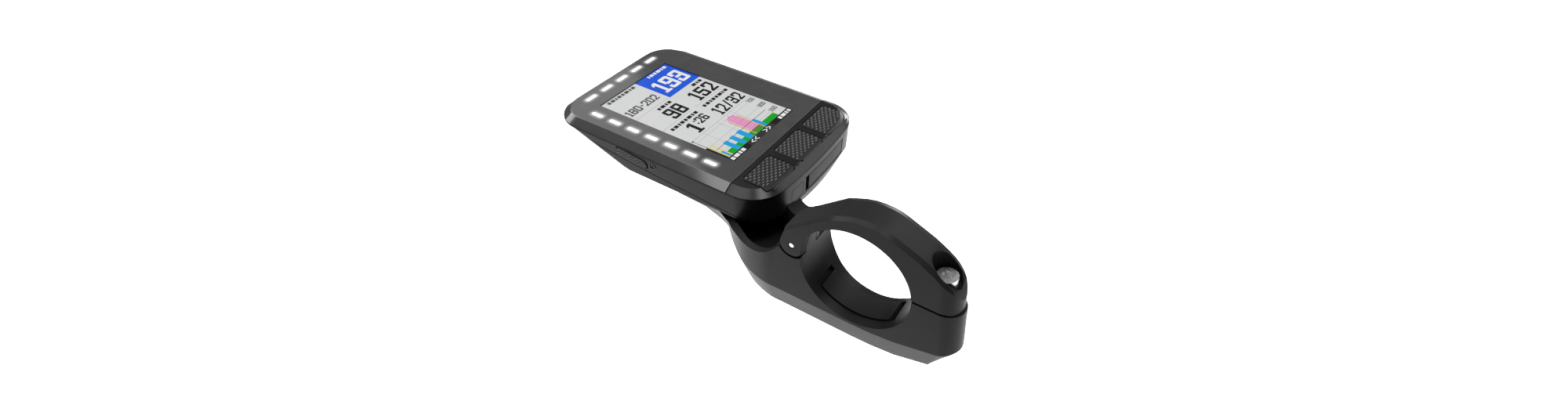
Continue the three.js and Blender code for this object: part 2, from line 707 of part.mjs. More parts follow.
makeHeadShell();
makeBand();
makePort();
add('bottom_cover', makeBottomCover(), finish.shell);
add('lock_ring', makeLockRing(), finish.shell);
caseScrewSpots().forEach((spot, i) => add(`case_screw_${i + 1}`, makeCaseScrew(spot), finish.steel));
makeInside();

export default pieces;
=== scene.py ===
# Cycling computer on its out-front handlebar mount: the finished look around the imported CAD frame.
# Lengths are in metres in the CAD frame: +X is the rider's right, +Y forward, +Z up from the level
# screen. Only the screen picture and the tables marked so are in millimetres.
import itertools
import math

import bmesh
import bpy
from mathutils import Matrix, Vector


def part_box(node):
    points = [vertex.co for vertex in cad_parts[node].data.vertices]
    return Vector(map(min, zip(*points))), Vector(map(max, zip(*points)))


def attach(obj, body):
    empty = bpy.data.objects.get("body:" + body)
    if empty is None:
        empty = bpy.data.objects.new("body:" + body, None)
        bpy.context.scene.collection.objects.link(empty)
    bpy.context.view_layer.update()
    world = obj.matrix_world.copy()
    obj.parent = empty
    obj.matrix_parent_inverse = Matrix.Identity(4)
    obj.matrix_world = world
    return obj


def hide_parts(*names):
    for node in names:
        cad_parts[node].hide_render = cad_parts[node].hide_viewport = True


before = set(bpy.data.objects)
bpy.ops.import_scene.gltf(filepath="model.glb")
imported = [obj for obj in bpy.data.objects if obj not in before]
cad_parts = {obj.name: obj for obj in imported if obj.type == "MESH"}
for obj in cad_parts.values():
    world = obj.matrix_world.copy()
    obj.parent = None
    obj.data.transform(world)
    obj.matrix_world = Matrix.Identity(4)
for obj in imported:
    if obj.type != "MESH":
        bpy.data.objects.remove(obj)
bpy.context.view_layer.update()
MM = 0.001
SCENE = bpy.context.scene

# ---- places read from the frame ----
COVER_LOW, COVER_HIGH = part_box("display_cover")
HEAD_LOW, HEAD_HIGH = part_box("main_housing")
PANE_LOW, PANE_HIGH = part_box("display_window")
TOP = COVER_HIGH.z
SLAB_BOTTOM = COVER_LOW.z
HEAD_X = (HEAD_LOW.x + HEAD_HIGH.x) / 2
HEAD_WIDTH = HEAD_HIGH.x - HEAD_LOW.x
KEYS = ("key_left", "key_centre", "key_right")

# ---- the head's outline ----
CORNER = 12 * MM
CROWN = 0.8 * MM
CHAMFER_SIDE = 3.2 * MM
CHAMFER_FRONT = 2.4 * MM
CHAMFER_DROP = 1.75 * MM
REAR = HEAD_LOW.y + CROWN
FRONT = HEAD_HIGH.y
STRAIGHT_HALF = HEAD_WIDTH / 2 - CORNER      # half the straight part of the rear edge
WALL_TOP = -3.25 * MM                        # the rear wall's upper and lower edges
WALL_LOW = -12.4 * MM
WALL_LEAN = 0.3 * MM                         # how far the rear wall leans in over that height


def arc(cx, cy, radius, start, end, steps):
    """Points on an arc, between two angles in degrees."""
    angles = [math.radians(start + (end - start) * i / steps) for i in range(steps + 1)]
    return [(cx + radius * math.cos(a), cy + radius * math.sin(a)) for a in angles]


def rounded_rect(x0, x1, y0, y1, radius, steps=16):
    """Counter-clockwise outline that starts and ends on the low y side."""
    return [
        *arc(x1 - radius, y0 + radius, radius, -90, 0, steps),
        *arc(x1 - radius, y1 - radius, radius, 0, 90, steps),
        *arc(x0 + radius, y1 - radius, radius, 90, 180, steps),
        *arc(x0 + radius, y0 + radius, radius, 180, 270, steps),
    ]


def head_outline(side, front, rear, corner):
    """Plan outline of the head drawn in on each side. Its rear edge bows out a little."""
    x0, x1 = HEAD_X - HEAD_WIDTH / 2 + side, HEAD_X + HEAD_WIDTH / 2 - side
    y0 = REAR + rear
    bows = [i / 10 for i in range(-9, 10)]
    half = (x1 - x0) / 2 - corner
    bow = [(HEAD_X + u * half, y0 - CROWN * (1 - u * u)) for u in bows]
    return rounded_rect(x0, x1, y0, FRONT - front, corner) + bow


# ---- meshes ----
def new_object(name, mesh):
    obj = bpy.data.objects.new(name, mesh)
    SCENE.collection.objects.link(obj)
    return obj


def from_bmesh(name, bm):
    """Object of a finished bmesh, with its faces turned outwards."""
    mesh = bpy.data.meshes.new(name)
    bmesh.ops.recalc_face_normals(bm, faces=bm.faces)
    bm.to_mesh(mesh)
    bm.free()
    return new_object(name, mesh)


def loft(name, rings):
    """Closed solid over (outline, height) rings of equal count."""
    bm = bmesh.new()
    rows = [[bm.verts.new((x, y, z)) for x, y in outline] for outline, z in rings]
    for low, high in zip(rows, rows[1:]):
        for i in range(len(low)):
            j = (i + 1) % len(low)
            bm.faces.new((low[i], low[j], high[j], high[i]))
    bm.faces.new(list(reversed(rows[0])))
    bm.faces.new(rows[-1])
    return from_bmesh(name, bm)


def block(name, low, high):
    """Box between two corners."""
    x0, y0, z0 = low
    x1, y1, z1 = high
    return loft(name, [([(x0, y0), (x1, y0), (x1, y1), (x0, y1)], z) for z in (z0, z1)])


def boolean(obj, tool, operation):
    """Cuts or keeps by another object, which is used up."""
    modifier = obj.modifiers.new("cut", "BOOLEAN")
    modifier.object = tool
    modifier.operation = operation
    modifier.solver = "EXACT"
    apply_modifiers(obj)
    bpy.data.objects.remove(tool)


def apply_modifiers(obj):
    """Swaps the mesh for its evaluated shape."""
    depsgraph = bpy.context.evaluated_depsgraph_get()
    made = bpy.data.meshes.new_from_object(obj.evaluated_get(depsgraph))
    obj.modifiers.clear()
    obj.data = made


def round_edges(obj, width, angle=16.5, segments=3):
    """Small rounds on every edge sharper than the angle, with flat faces kept flat in the shading."""
    bevel = obj.modifiers.new("edge_rounds", "BEVEL")
    bevel.width = width
    bevel.segments = segments
    bevel.limit_method = "ANGLE"
    bevel.angle_limit = math.radians(angle)
    normals = obj.modifiers.new("normals", "WEIGHTED_NORMAL")
    normals.keep_sharp = True
    normals.weight = 80
    obj.data.shade_smooth()


# ---- materials ----
def new_material(name):
    """Material with its nodes, its links and its main shader."""
    material = bpy.data.materials.new(name)
    material.use_nodes = True
    nodes = material.node_tree.nodes
    return material, nodes, material.node_tree.links, nodes["Principled BSDF"]


def grain(nodes, links, shader, scale, strength, distance):
    """Fine moulded grain from object-space noise."""
    place = nodes.new("ShaderNodeTexCoord")
    noise = nodes.new("ShaderNodeTexNoise")
    noise.inputs["Scale"].default_value = scale
    noise.inputs["Detail"].default_value = 3
    bump = nodes.new("ShaderNodeBump")
    bump.inputs["Strength"].default_value = strength
    bump.inputs["Distance"].default_value = distance
    links.new(place.outputs["Object"], noise.inputs["Vector"])
    links.new(noise.outputs["Fac"], bump.inputs["Height"])
    links.new(bump.outputs["Normal"], shader.inputs["Normal"])
    return place, noise


def ramp_between(nodes, links, source, low, high):
    """Maps a value of 0 to 1 on to another range."""
    ramp = nodes.new("ShaderNodeMapRange")
    ramp.inputs["To Min"].default_value = low
    ramp.inputs["To Max"].default_value = high
    links.new(source, ramp.inputs["Value"])
    return ramp.outputs["Result"]


def tinted(nodes, links, noise, dark, light, shader):
    """Base colour that wanders between two near tones."""
    mix = nodes.new("ShaderNodeValToRGB")
    mix.color_ramp.elements[0].position = 0.35
    mix.color_ramp.elements[1].position = 0.65
    mix.color_ramp.elements[0].color = (*dark, 1)
    mix.color_ramp.elements[1].color = (*light, 1)
    links.new(noise.outputs["Fac"], mix.inputs["Fac"])
    links.new(mix.outputs["Color"], shader.inputs["Base Color"])


def moulded(name, color, roughness, scale=2500, strength=0.12, spread=0.06, shine=0.3):
    """Moulded plastic or rubber: fine grain, small variation in colour and in gloss."""
    material, nodes, links, shader = new_material(name)
    shader.inputs["Specular IOR Level"].default_value = shine
    place, _ = grain(nodes, links, shader, scale, strength, 0.02 * MM)
    wide = nodes.new("ShaderNodeTexNoise")
    wide.inputs["Scale"].default_value = 90
    wide.inputs["Detail"].default_value = 4
    links.new(place.outputs["Object"], wide.inputs["Vector"])
    tinted(nodes, links, wide, [c * 0.92 for c in color], [c * 1.08 for c in color], shader)
    rough = ramp_between(nodes, links, wide.outputs["Fac"], roughness - spread, roughness + spread)
    links.new(rough, shader.inputs["Roughness"])
    return material


def metal(name, color, roughness, scale=1200):
    """Plain metal with fine grain and uneven gloss."""
    material, nodes, links, shader = new_material(name)
    _, noise = grain(nodes, links, shader, scale, 0.05, 0.01 * MM)
    shader.inputs["Metallic"].default_value = 1
    tinted(nodes, links, noise, [c * 0.93 for c in color], color, shader)
    rough = ramp_between(nodes, links, noise.outputs["Fac"], roughness * 0.8, roughness * 1.2)
    links.new(rough, shader.inputs["Roughness"])
    return material


def lit(name, color, strength):
    """Glowing light guide."""
    material, nodes, links, shader = new_material(name)
    _, noise = grain(nodes, links, shader, 900, 0.02, 0.01 * MM)
    tinted(nodes, links, noise, [c * 0.97 for c in color], color, shader)
    shader.inputs["Roughness"].default_value = 0.4
    shader.inputs["Emission Color"].default_value = (*color, 1)
    shader.inputs["Emission Strength"].default_value = strength
    return material


def ink(name, color, roughness=0.35):
    """A printed-looking colour on the screen, with the faint grain of its pixels."""
    material, nodes, links, shader = new_material(name)
    _, noise = grain(nodes, links, shader, 4000, 0.02, 0.005 * MM)
    tinted(nodes, links, noise, [c * 0.14 for c in color], [c * 0.16 for c in color], shader)
    shader.inputs["Roughness"].default_value = roughness
    shader.inputs["Specular IOR Level"].default_value = 0.1
    shader.inputs["Emission Color"].default_value = (*color, 1)
    shader.inputs["Emission Strength"].default_value = 0.8
    return material


# ---- light bars: their rows, as the frame places them ----
def centre_of(node):
    """Middle of a CAD node's box."""
    low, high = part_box(node)
    return (low + high) / 2


FRONT_LIGHTS = [f"light_front_{i}" for i in range(1, 6)]
SIDE_LIGHTS = [f"light_side_{i}" for i in range(1, 8)]
BAR_LOW, BAR_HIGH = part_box(FRONT_LIGHTS[0])
LIGHT_HALF = (BAR_HIGH.x - BAR_LOW.x) / 2
LIGHT_THIN = (BAR_HIGH.y - BAR_LOW.y) / 2
# painted glow on the cover round the light bars: its reach, and the base and power of its fall-off
GLOW_REACH = 0.75 * MM        # distance at which the glow has fallen to about a third
GLOW_BASE = 2.718
GLOW_FALL = 1.6


class Graph:
    """Small helper for arithmetic in a node tree."""

    def __init__(self, material):
        self.nodes = material.node_tree.nodes
        self.links = material.node_tree.links

    def math(self, operation, a, b=0.0):
        """Output of one operation on two numbers or sockets."""
        node = self.nodes.new("ShaderNodeMath")
        node.operation = operation
        for socket, value in zip(node.inputs, (a, b)):
            if isinstance(value, (int, float)):
                socket.default_value = value
            else:
                self.links.new(value, socket)
        return node.outputs["Value"]


def painted_row_glow(graph, along, across, first, last, count, line):
    """Painted glow of a straight row of equal bars, by distance from the nearest one, in metres."""
    pitch = (last - first) / (count - 1)
    step = graph.math("DIVIDE", graph.math("SUBTRACT", along, first), pitch)
    nearest = graph.math("ROUND", step)
    nearest = graph.math("MINIMUM", graph.math("MAXIMUM", nearest, 0), count - 1)
    steps_off = graph.math("SUBTRACT", step, nearest)
    off = graph.math("ABSOLUTE", graph.math("MULTIPLY", steps_off, abs(pitch)))
    past_end = graph.math("MAXIMUM", graph.math("SUBTRACT", off, LIGHT_HALF - LIGHT_THIN), 0)
    aside = graph.math("SUBTRACT", across, line)
    squared = graph.math("ADD", graph.math("POWER", past_end, 2), graph.math("POWER", aside, 2))
    distance = graph.math("SUBTRACT", graph.math("SQRT", squared), LIGHT_THIN)
    fade = graph.math("DIVIDE", graph.math("MAXIMUM", distance, 0), GLOW_REACH)
    falling = graph.math("MULTIPLY", graph.math("POWER", fade, GLOW_FALL), -1)
    return graph.math("POWER", GLOW_BASE, falling)


def cover_gloss():
    """Glossy tinted cover with a painted glow round each light bar: emission set by distance to the
    nearest bar.
    """
    material, nodes, links, shader = new_material("cover_gloss")
    graph = Graph(material)
    place, noise = grain(nodes, links, shader, 220, 0.015, 0.02 * MM)
    tinted(nodes, links, noise, (0.044, 0.044, 0.0434), (0.05, 0.05, 0.0493), shader)
    shader.inputs["Roughness"].default_value = 0.1
    shader.inputs["IOR"].default_value = 1.5
    split = nodes.new("ShaderNodeSeparateXYZ")
    links.new(place.outputs["Object"], split.inputs["Vector"])
    x, y = split.outputs["X"], split.outputs["Y"]
    first, last = centre_of(FRONT_LIGHTS[0]), centre_of(FRONT_LIGHTS[-1])
    front = painted_row_glow(graph, x, y, first.x, last.x, len(FRONT_LIGHTS), first.y)
    first, last = centre_of(SIDE_LIGHTS[0]), centre_of(SIDE_LIGHTS[-1])
    side = painted_row_glow(graph, y, x, first.y, last.y, len(SIDE_LIGHTS), first.x)
    # painted glow: the cover's emission, strongest at the bars and falling off away from them
    glow = graph.math("MULTIPLY", graph.math("MAXIMUM", front, side), 0.55)
    shader.inputs["Emission Color"].default_value = (1, 1, 1, 1)
    links.new(glow, shader.inputs["Emission Strength"])
    return material


def clear_pane():
    """Clear pane with a glossy face and hardly any tint of its own."""
    material, nodes, links, shader = new_material("clear_pane")
    grain(nodes, links, shader, 150, 0.01, 0.01 * MM)
    shader.inputs["Base Color"].default_value = (0, 0, 0, 1)
    shader.inputs["Roughness"].default_value = 0.05
    shader.inputs["Alpha"].default_value = 0.04
    shader.inputs["IOR"].default_value = 1.5
    return material


LOOK = {
    "arm": moulded("arm_plastic", (0.014, 0.014, 0.0143), 0.38, shine=0.11),
    "case": moulded("case_plastic", (0.012, 0.012, 0.0122), 0.34, shine=0.11),
    "fascia": moulded("fascia_plastic", (0.01, 0.01, 0.0102), 0.26, shine=0.2),
    "key": moulded("key_plastic", (0.01, 0.01, 0.0103), 0.45, strength=0.2, shine=0.2),
    # grip marks a lighter grey than the keys: painted glint on the raised lozenges
    "grip": moulded("grip_painted_glint", (0.075, 0.075, 0.076), 0.3, shine=1.0),
    "rubber": moulded("soft_rubber", (0.014, 0.014, 0.014), 0.45, strength=0.3, shine=0.12),
    "cover": cover_gloss(),
    "pane": clear_pane(),
    "light": lit("lit_white", (1, 1, 1), 3.0),
    "steel": metal("plain_steel", (0.75, 0.75, 0.76), 0.28),
    "brass": metal("plain_brass", (0.72, 0.55, 0.25), 0.35),
    "board": moulded("circuit_board", (0.03, 0.14, 0.06), 0.4, scale=600),
    "cell": metal("cell_foil", (0.7, 0.71, 0.73), 0.4),
    "chip": moulded("chip_plastic", (0.02, 0.02, 0.02), 0.5),
    "ceramic": moulded("antenna_ceramic", (0.55, 0.45, 0.27), 0.6),
    "panel": moulded("panel_frame", (0.3, 0.31, 0.31), 0.4),
    # near-black for the strips drawn in joints and grooves: painted shade
    "mark": moulded("painted_shade_black", (0.004, 0.004, 0.004), 0.5, shine=0.1),
    # lighter grey than the case so the raised power icon reads: painted highlight of its lit edges
    "relief": moulded("relief_painted_highlight", (0.06, 0.06, 0.061), 0.4),
}

CAD_LOOK = {
    "arm": ["mount_arm", "clamp_strap"],
    "case": ["main_housing", "bottom_cover", "lock_ring", "bayonet_insert"],
    "fascia": ["button_fascia"],
    "key": [*KEYS, "power_button", "up_button", "down_button"],
    "rubber": ["lower_liner", "upper_liner", "usb_door", "case_seal"],
    "steel": ["hinge_pin", "clamp_bolt", "insert_screw_1", "insert_screw_2", "usb_socket"]
    + [f"case_screw_{i}" for i in range(1, 5)],
    "brass": ["threaded_insert"],
    "board": ["main_board"],
    "cell": ["battery"],
    "chip": ["buzzer", "switch_left", "switch_centre", "switch_right"]
    + ["power_switch", "up_switch", "down_switch"],
    "ceramic": ["gps_antenna"],
    "panel": ["lcd_panel"],
}
EDGE_ROUND = {"arm": 0.22 * MM, "case": 0.2 * MM, "fascia": 0.25 * MM, "key": 0.2 * MM}


def finish_node(node, look):
    """A carried-over CAD node: welded, flat faces joined, edges rounded, and a finish of its own."""
    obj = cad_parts[node]
    obj.data.materials.clear()
    obj.data.materials.append(LOOK[look])
    weld = obj.modifiers.new("weld", "WELD")
    weld.merge_threshold = 0.002 * MM
    flat = obj.modifiers.new("flat", "DECIMATE")
    flat.decimate_type = "DISSOLVE"
    flat.angle_limit = math.radians(0.6)
    round_edges(obj, EDGE_ROUND.get(look, 0.12 * MM))


for look_name, node_names in CAD_LOOK.items():
    for node_name in node_names:
        finish_node(node_name, look_name)


def piece(obj, body, look, replaces=()):
    """Dresses a new piece and ties it to its body."""
    if look:
        obj.data.materials.append(LOOK[look])
    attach(obj, body)
    if replaces:
        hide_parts(*replaces)
    return obj


# ---- cover and pane ----
def make_cover():
    """Chamfered cover, cut off at the seam and open over the screen."""
    inset = 0.1 * MM        # draft of the cover's side, down to its lower edge
    cover = loft("cover_shell", [
        (head_outline(inset, inset, inset, CORNER - inset), SLAB_BOTTOM),
        (head_outline(0, 0, 0, CORNER), TOP - CHAMFER_DROP),
        (head_outline(CHAMFER_SIDE, CHAMFER_FRONT, CHAMFER_SIDE, CORNER - CHAMFER_SIDE), TOP),
    ])
    boolean(cover, block("seam_side", (-1, COVER_LOW.y, -1), (1, 1, 1)), "INTERSECT")
    hole = block("window_hole", (PANE_LOW.x, PANE_LOW.y, -1), (PANE_HIGH.x, PANE_HIGH.y, 1))
    boolean(cover, hole, "DIFFERENCE")
    round_edges(cover, 0.3 * MM)
    return piece(cover, "head", "cover", ["display_cover"])


make_cover()


def make_pane():
    """Thin clear pane that fills the cover's opening."""
    thick = 0.25 * MM
    low, high = (PANE_LOW.x, PANE_LOW.y, TOP - thick), (PANE_HIGH.x, PANE_HIGH.y, TOP)
    pane = block("screen_pane", low, high)
    return piece(pane, "head", "pane", ["display_window"])


make_pane()


# ---- light bars ----
def make_light(node):
    """A bar of light with round ends and a slightly domed face."""
    low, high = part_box(node)
    cx, cy = (low.x + high.x) / 2, (low.y + high.y) / 2
    half_x, half_y = (high.x - low.x) / 2, (high.y - low.y) / 2

    def ring(inset, z):
        a, b = half_x - inset, half_y - inset
        return rounded_rect(cx - a, cx + a, cy - b, cy + b, min(a, b) - 0.002 * MM, 6), z

    rim, face = TOP + 0.01 * MM, TOP + 0.03 * MM
    obj = loft(f"{node}_bar", [ring(0, low.z), ring(0, rim), ring(0.1 * MM, face)])
    obj.data.shade_smooth()
    return piece(obj, "head", "light", [node])


for light_node in FRONT_LIGHTS + SIDE_LIGHTS:
    make_light(light_node)


# ---- screen picture ----
PICTURE_Z = TOP - 0.5 * MM
LAYER = 0.012 * MM
INK = {
    "ground": ink("screen_ground", (0.7, 0.71, 0.705)),
    "black": ink("screen_black", (0.012, 0.012, 0.013)),
    "dark": ink("screen_dark", (0.035, 0.035, 0.037)),
    "grey": ink("screen_grey", (0.075, 0.075, 0.078)),
    "line": ink("screen_line", (0.3, 0.3, 0.3)),
    "white": ink("screen_white", (0.85, 0.86, 0.86)),
    "blue": ink("screen_blue", (0.014, 0.1, 0.7)),
    "sky": ink("screen_sky", (0.015, 0.36, 0.74)),
    "green": ink("screen_green", (0.01, 0.38, 0.015)),
    "yellow": ink("screen_yellow", (0.82, 0.62, 0.06)),
    "pink": ink("screen_pink", (0.85, 0.06, 0.45)),
    "orange": ink("screen_orange", (0.8, 0.33, 0.1)),
    "brown": ink("screen_brown", (0.14, 0.2, 0.05)),
}
INK_NAMES = list(INK)


class Picture:
    """Flat shapes collected into one mesh, in millimetres on the screen, each on its own thin layer."""

    def __init__(self):
        self.bm = bmesh.new()

    def shape(self, color, outline, level):
        """One filled outline."""
        z = PICTURE_Z + LAYER * level
        verts = [self.bm.verts.new((x * MM, y * MM, z)) for x, y in outline]
        face = self.bm.faces.new(verts)
        face.material_index = INK_NAMES.index(color)

    def box(self, color, x0, x1, y0, y1, level=1):
        self.shape(color, [(x0, y0), (x1, y0), (x1, y1), (x0, y1)], level)

    def stroke(self, color, start, end, width, level=2):
        """Straight line of a given width."""
        along = (Vector(end) - Vector(start)).normalized()
        side = Vector((-along.y, along.x)) * width / 2
        a, b = Vector(start), Vector(end)
        self.shape(color, [tuple(a - side), tuple(b - side), tuple(b + side), tuple(a + side)], level)

    def figures(self, color, text, x0, x1, y0, y1, level=3):
        """Condensed block numerals, set side by side to fill a box."""
        widths = [GLYPH_WIDTH.get(mark, 1.0) for mark in text]
        unit = (x1 - x0) / (sum(widths) + GLYPH_GAP * (len(text) - 1))
        x = x0
        for mark, width in zip(text, widths):
            for ring in glyph(mark):
                outline = [(x + u * width * unit, y0 + v * (y1 - y0)) for u, v in ring]
                self.shape(color, outline, level)
            x += (width + GLYPH_GAP) * unit


# ---- block numerals: rings in a unit box ----
GLYPH_WIDTH = {"1": 0.72, ":": 0.3, "/": 0.8, "-": 0.62}
GLYPH_GAP = 0.16
STEM, BAR_TALL, NIP = 0.3, 0.17, 0.09


def bar(u0, u1, v0, v1):
    """Ring of one straight stroke."""
    return [(u0, v0), (u1, v0), (u1, v1), (u0, v1)]


def glyph(mark):
    """Stems and bars of one numeral, with nipped outer corners."""
    middle = (0.5 - BAR_TALL / 2, 0.5 + BAR_TALL / 2)
    nip_u, nip_v, under = NIP * 1.6, 1 - NIP * 0.6, 1 - BAR_TALL
    top = [(0, nip_v), (nip_u, 1), (1 - nip_u, 1), (1, nip_v), (1, under), (0, under)]
    foot = [(u, 1 - v) for u, v in reversed(top)]
    centre = bar(STEM * 0.5, 1 - STEM * 0.3, *middle)
    upper_left, upper_right = bar(0, STEM, 0.5, under), bar(1 - STEM, 1, 0.5, under)
    lower_left, lower_right = bar(0, STEM, BAR_TALL, 0.5), bar(1 - STEM, 1, BAR_TALL, 0.5)
    short_left, short_foot = bar(0, STEM, 0.66, under), bar(0, STEM, BAR_TALL, 0.34)
    flat_top = bar(0, 1, under, 1)
    flag = [(0.32, 1), (0, 0.86), (0, 0.72), (0.32, 0.8)]
    slope = [(0, 0.14), (0.38, 0.14), (1, 0.5), (0.7, 0.5)]
    return {
        "0": [top, foot, upper_left, upper_right, lower_left, lower_right],
        "1": [bar(0.32, 0.74, 0.1, 1), bar(0.02, 1, 0, 0.14), flag],
        "2": [top, short_left, upper_right, slope, bar(0, 1, 0, 0.16)],
        "3": [top, foot, short_left, short_foot, upper_right, lower_right, centre],
        "5": [flat_top, foot, upper_left, short_foot, lower_right, bar(0, 0.94, 0.46, 0.64)],
        "6": [top, foot, upper_left, lower_left, lower_right, centre, bar(1 - STEM, 1, 0.7, under)],
        "7": [flat_top, [(0.25, 0), (0.6, 0), (1, 0.83), (0.68, 0.83)]],
        "8": [top, foot, upper_left, upper_right, lower_left, lower_right, centre],
        "9": [top, foot, upper_left, upper_right, lower_right, centre, bar(0, STEM, BAR_TALL, 0.3)],
        "/": [[(0, 0), (0.34, 0), (1, 1), (0.66, 1)]],
        "-": [bar(0.05, 0.95, 0.42, 0.58)],
        ":": [bar(0, 1, 0.16, 0.36), bar(0, 1, 0.64, 0.84)],
    }[mark]


MARK_HEIGHT, MARK_GAP = 1.5, 0.45
MARK_WIDTHS = (1.5, 0.8, 1.9, 1.1, 1.5, 0.8, 1.6, 1.2)


def label(picture, color, x0, x1, y, level=2):
    """A caption stood in for by a row of short plain marks, set from the right."""
    x = x1
    for width in itertools.cycle(MARK_WIDTHS):
        if x - width <= x0:
            break
        picture.box(color, x - width, x, y, y + MARK_HEIGHT, level)
        x -= width + MARK_GAP


def make_picture():
    """The lit screen: six fields of figures, a chart, and the row of key marks."""
    p = Picture()
    x0, x1 = PANE_LOW.x / MM, PANE_HIGH.x / MM
    y0, y1 = PANE_LOW.y / MM, PANE_HIGH.y / MM
    mid = 37.3                                # line between the two columns
    foot, chart_top = 59.3, 74.5              # lower and upper edges of the chart
    bar_foot = 61.8                           # height at which the raised bars stand
    p.box("dark", x0, x1, y0, y1, 0)
    p.box("ground", x0, x1, foot, y1)
    p.box("blue", mid, x1, 97.8, y1, 2)
    for y, start, end in ((98.2, x0, mid), (86.4, x0, mid - 2), (86.4, mid, x1), (chart_top, x0, x1)):
        p.box("line", start, end, y - 0.06, y + 0.06, 2)
    # figures of the six fields
    p.figures("grey", "180-202", 20.6, 35.5, 100.7, 104.6)
    p.figures("white", "193", 39.1, 52.9, 100.5, 109.1, 4)
    p.figures("black", "98", 27.9, 35.6, 87.3, 94.0)
    p.figures("black", "152", 41.6, 52.75, 87.3, 94.0)
    p.figures("black", "1", 26.0, 29.2, 75.5, 82.1)
    p.figures("black", ":26", 29.9, 35.5, 78.2, 82.4)
    p.figures("black", "12/32", 38.7, 52.75, 75.5, 81.0)
    for color, start, end, y in (
        ("grey", 21.5, 35.5, 112.4),
        ("black", 28.8, 35.5, 95.3),
        ("black", 46.5, 52.8, 95.3),
        ("black", 21.5, 35.5, 83.5),
        ("black", 38.6, 52.8, 83.5),
    ):
        label(p, color, start, end, y)
    label(p, "white", 41.0, 52.8, 112.4, 3)
    # chart: grid, scale, bars
    for x in (26.6, 34.1, 41.9):
        p.box("line", x - 0.05, x + 0.05, foot, chart_top, 2)
    for y in (72.6, 67.8, 62.8):
        p.box("line", 21.2, 49.4, y - 0.05, y + 0.05, 2)
    for text, y in (("750", 71.8), ("300", 67.0), ("150", 62.1)):
        p.figures("grey", text, 49.7, 53.0, y, y + 1.9)
    p.box("black", 20.6, 20.8, 68.3, chart_top, 3)
    p.shape("black", [(20.2, chart_top), (20.7, 73.6), (21.2, chart_top)], 3)
    p.box("black", 19.7, 20.75, foot, 68.3, 3)
    p.box("green", 22.8, 49.3, foot, bar_foot, 3)
    p.box("black", 21.2, 49.3, 64.82, 65.0, 6)
    for start, end, top in (
        (25.3, 27.3, 65.5),
        (28.8, 30.8, 65.5),
        (32.5, 34.7, 65.5),
        (41.2, 42.6, 65.2),
    ):
        p.box("sky", start, end, foot, top, 7)
    for x, top in ((20.9, 68.5), (21.6, 64), (22.3, 68.5)):
        p.box("yellow", x, x + 0.4, foot, top, 4)
    p.box("sky", 21.35, 22.2, foot, 63.2, 5)
    for x in (36.0, 40.7):
        p.box("orange", x, x + 0.45, foot, 71.2, 5)
    p.box("brown", 36.45, 40.7, 60.4, bar_foot, 4)
    for i, top in enumerate((72.6, 72.7, 73.4, 72.7, 72.6)):
        x = 36.95 + 0.75 * i
        p.box("pink", x, x + 0.42, bar_foot, top, 5)
    # key row: dark tabs with plain marks, chevrons between
    p.shape("black", [(x0, y0), (29.6, y0), (30.4, foot), (x0, foot)], 1)
    p.shape("black", [(44.2, y0), (x1, y0), (x1, foot), (43.4, foot)], 1)
    tab_marks = (1.2, 2.0, 0.9, 1.5)
    for start in (20.3, 47.6):
        for i, width in enumerate(tab_marks):
            left = start + sum(tab_marks[:i]) + MARK_GAP * i
            p.box("white", left, left + width, 57.2, 58.7, 3)
    tip_y, rise = 57.95, 0.8
    for tip, direction in ((31.4, 1), (33.3, 1), (42.0, -1), (40.1, -1)):
        far = tip + direction * 1.45
        p.stroke("white", (tip, tip_y), (far, tip_y + rise), 0.38)
        p.stroke("white", (tip, tip_y), (far, tip_y - rise), 0.38)
    obj = from_bmesh("screen_picture", p.bm)
    for name in INK_NAMES:
        obj.data.materials.append(INK[name])
    for polygon in obj.data.polygons:
        if polygon.normal.z < 0:
            polygon.flip()
    return piece(obj, "head", None)


make_picture()


# ---- grip texture of the keys ----
def bumps(name, places, length, width, height, frame_of):
    """Raised lozenges: each place is turned into the world by frame_of."""
    bm = bmesh.new()
    shoulder = length * 0.55
    ring = [
        (-length, 0),
        (-shoulder, -width),
        (shoulder, -width),
        (length, 0),
        (shoulder, width),
        (-shoulder, width),
    ]
    for u, v in places:
        low = [bm.verts.new(frame_of(u + a / 2, v + b / 2, -height)) for a, b in ring]
        high = [bm.verts.new(frame_of(u + a * 0.3, v + b * 0.22, height)) for a, b in ring]
        for i in range(len(ring)):
            j = (i + 1) % len(ring)
            bm.faces.new((low[i], low[j], high[j], high[i]))
        bm.faces.new(high)
    obj = from_bmesh(name, bm)
    obj.data.shade_smooth()
    return obj


def staggered(u0, u1, v0, v1, pitch_u, pitch_v):
    """Places in rows, every other row moved on by half a pitch."""
    places, row, v = [], 0, v0
    while v < v1:
        u = u0 + (pitch_u / 2 if row % 2 else 0)
        while u < u1:
            places.append((u, v))
            u += pitch_u
        v += pitch_v
        row += 1
    return places


def top_height(x, y):
    """Height of the head's top at a place: flat, then falling over the chamfer towards the outline."""
    flat_rear = REAR + CHAMFER_SIDE - CROWN * (1 - ((x - HEAD_X) / STRAIGHT_HALF) ** 2)
    over = max(0.0, flat_rear - y)
    return TOP - over * CHAMFER_DROP / CHAMFER_SIDE


